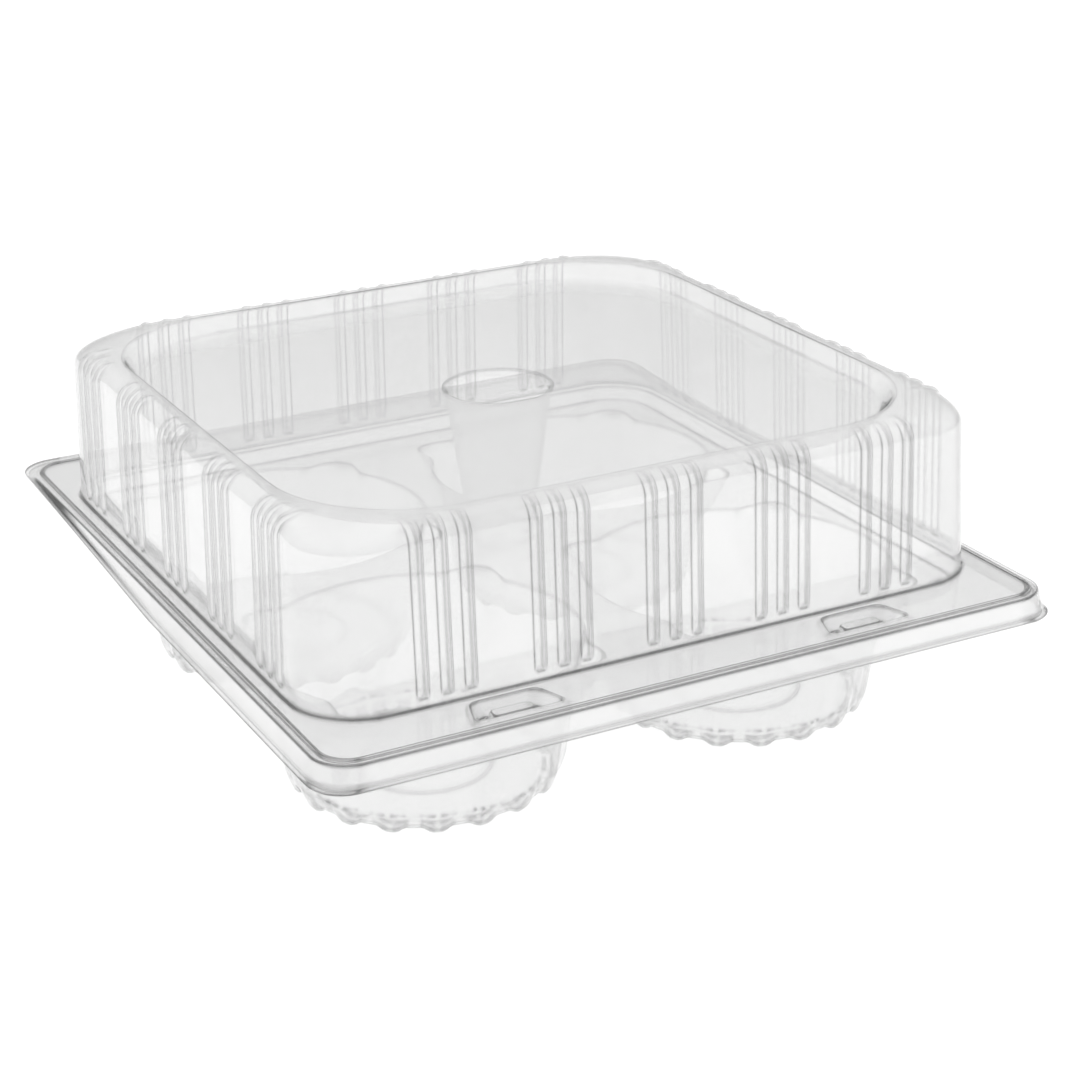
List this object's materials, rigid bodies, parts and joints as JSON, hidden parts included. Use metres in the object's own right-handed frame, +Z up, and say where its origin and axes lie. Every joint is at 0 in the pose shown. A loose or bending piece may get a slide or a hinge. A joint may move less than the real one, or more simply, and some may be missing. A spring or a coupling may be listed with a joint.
{
  "type": "cupcake box",
  "caption": "Clear thermoformed clamshell box for cupcakes: fluted cups in the base and a ribbed, hinged domed lid with a middle post, closed by snap latches in the flange.",
  "frame": {"origin": "under the middle of the closed box, on the surface that it stands on", "axes": "+X to the right seen from the front, -Y towards the front flange with the latches, +Y towards the fold, +Z up"},
  "size_m": [0.184, 0.206, 0.079],
  "materials": {
    "clear_sheet": "clear glossy formed sheet"
  },
  "bodies": {
    "base": {"base_tray": "clear_sheet"},
    "lid": {"lid": "clear_sheet"}
  },
  "joints": [
    {"name": "lid_hinge", "type": "hinge", "parent": "base", "child": "lid", "pos_m": [0, 0.10315, 0.03785], "axis": [-1, 0, 0], "range_deg": [0, 180]}
  ]
}
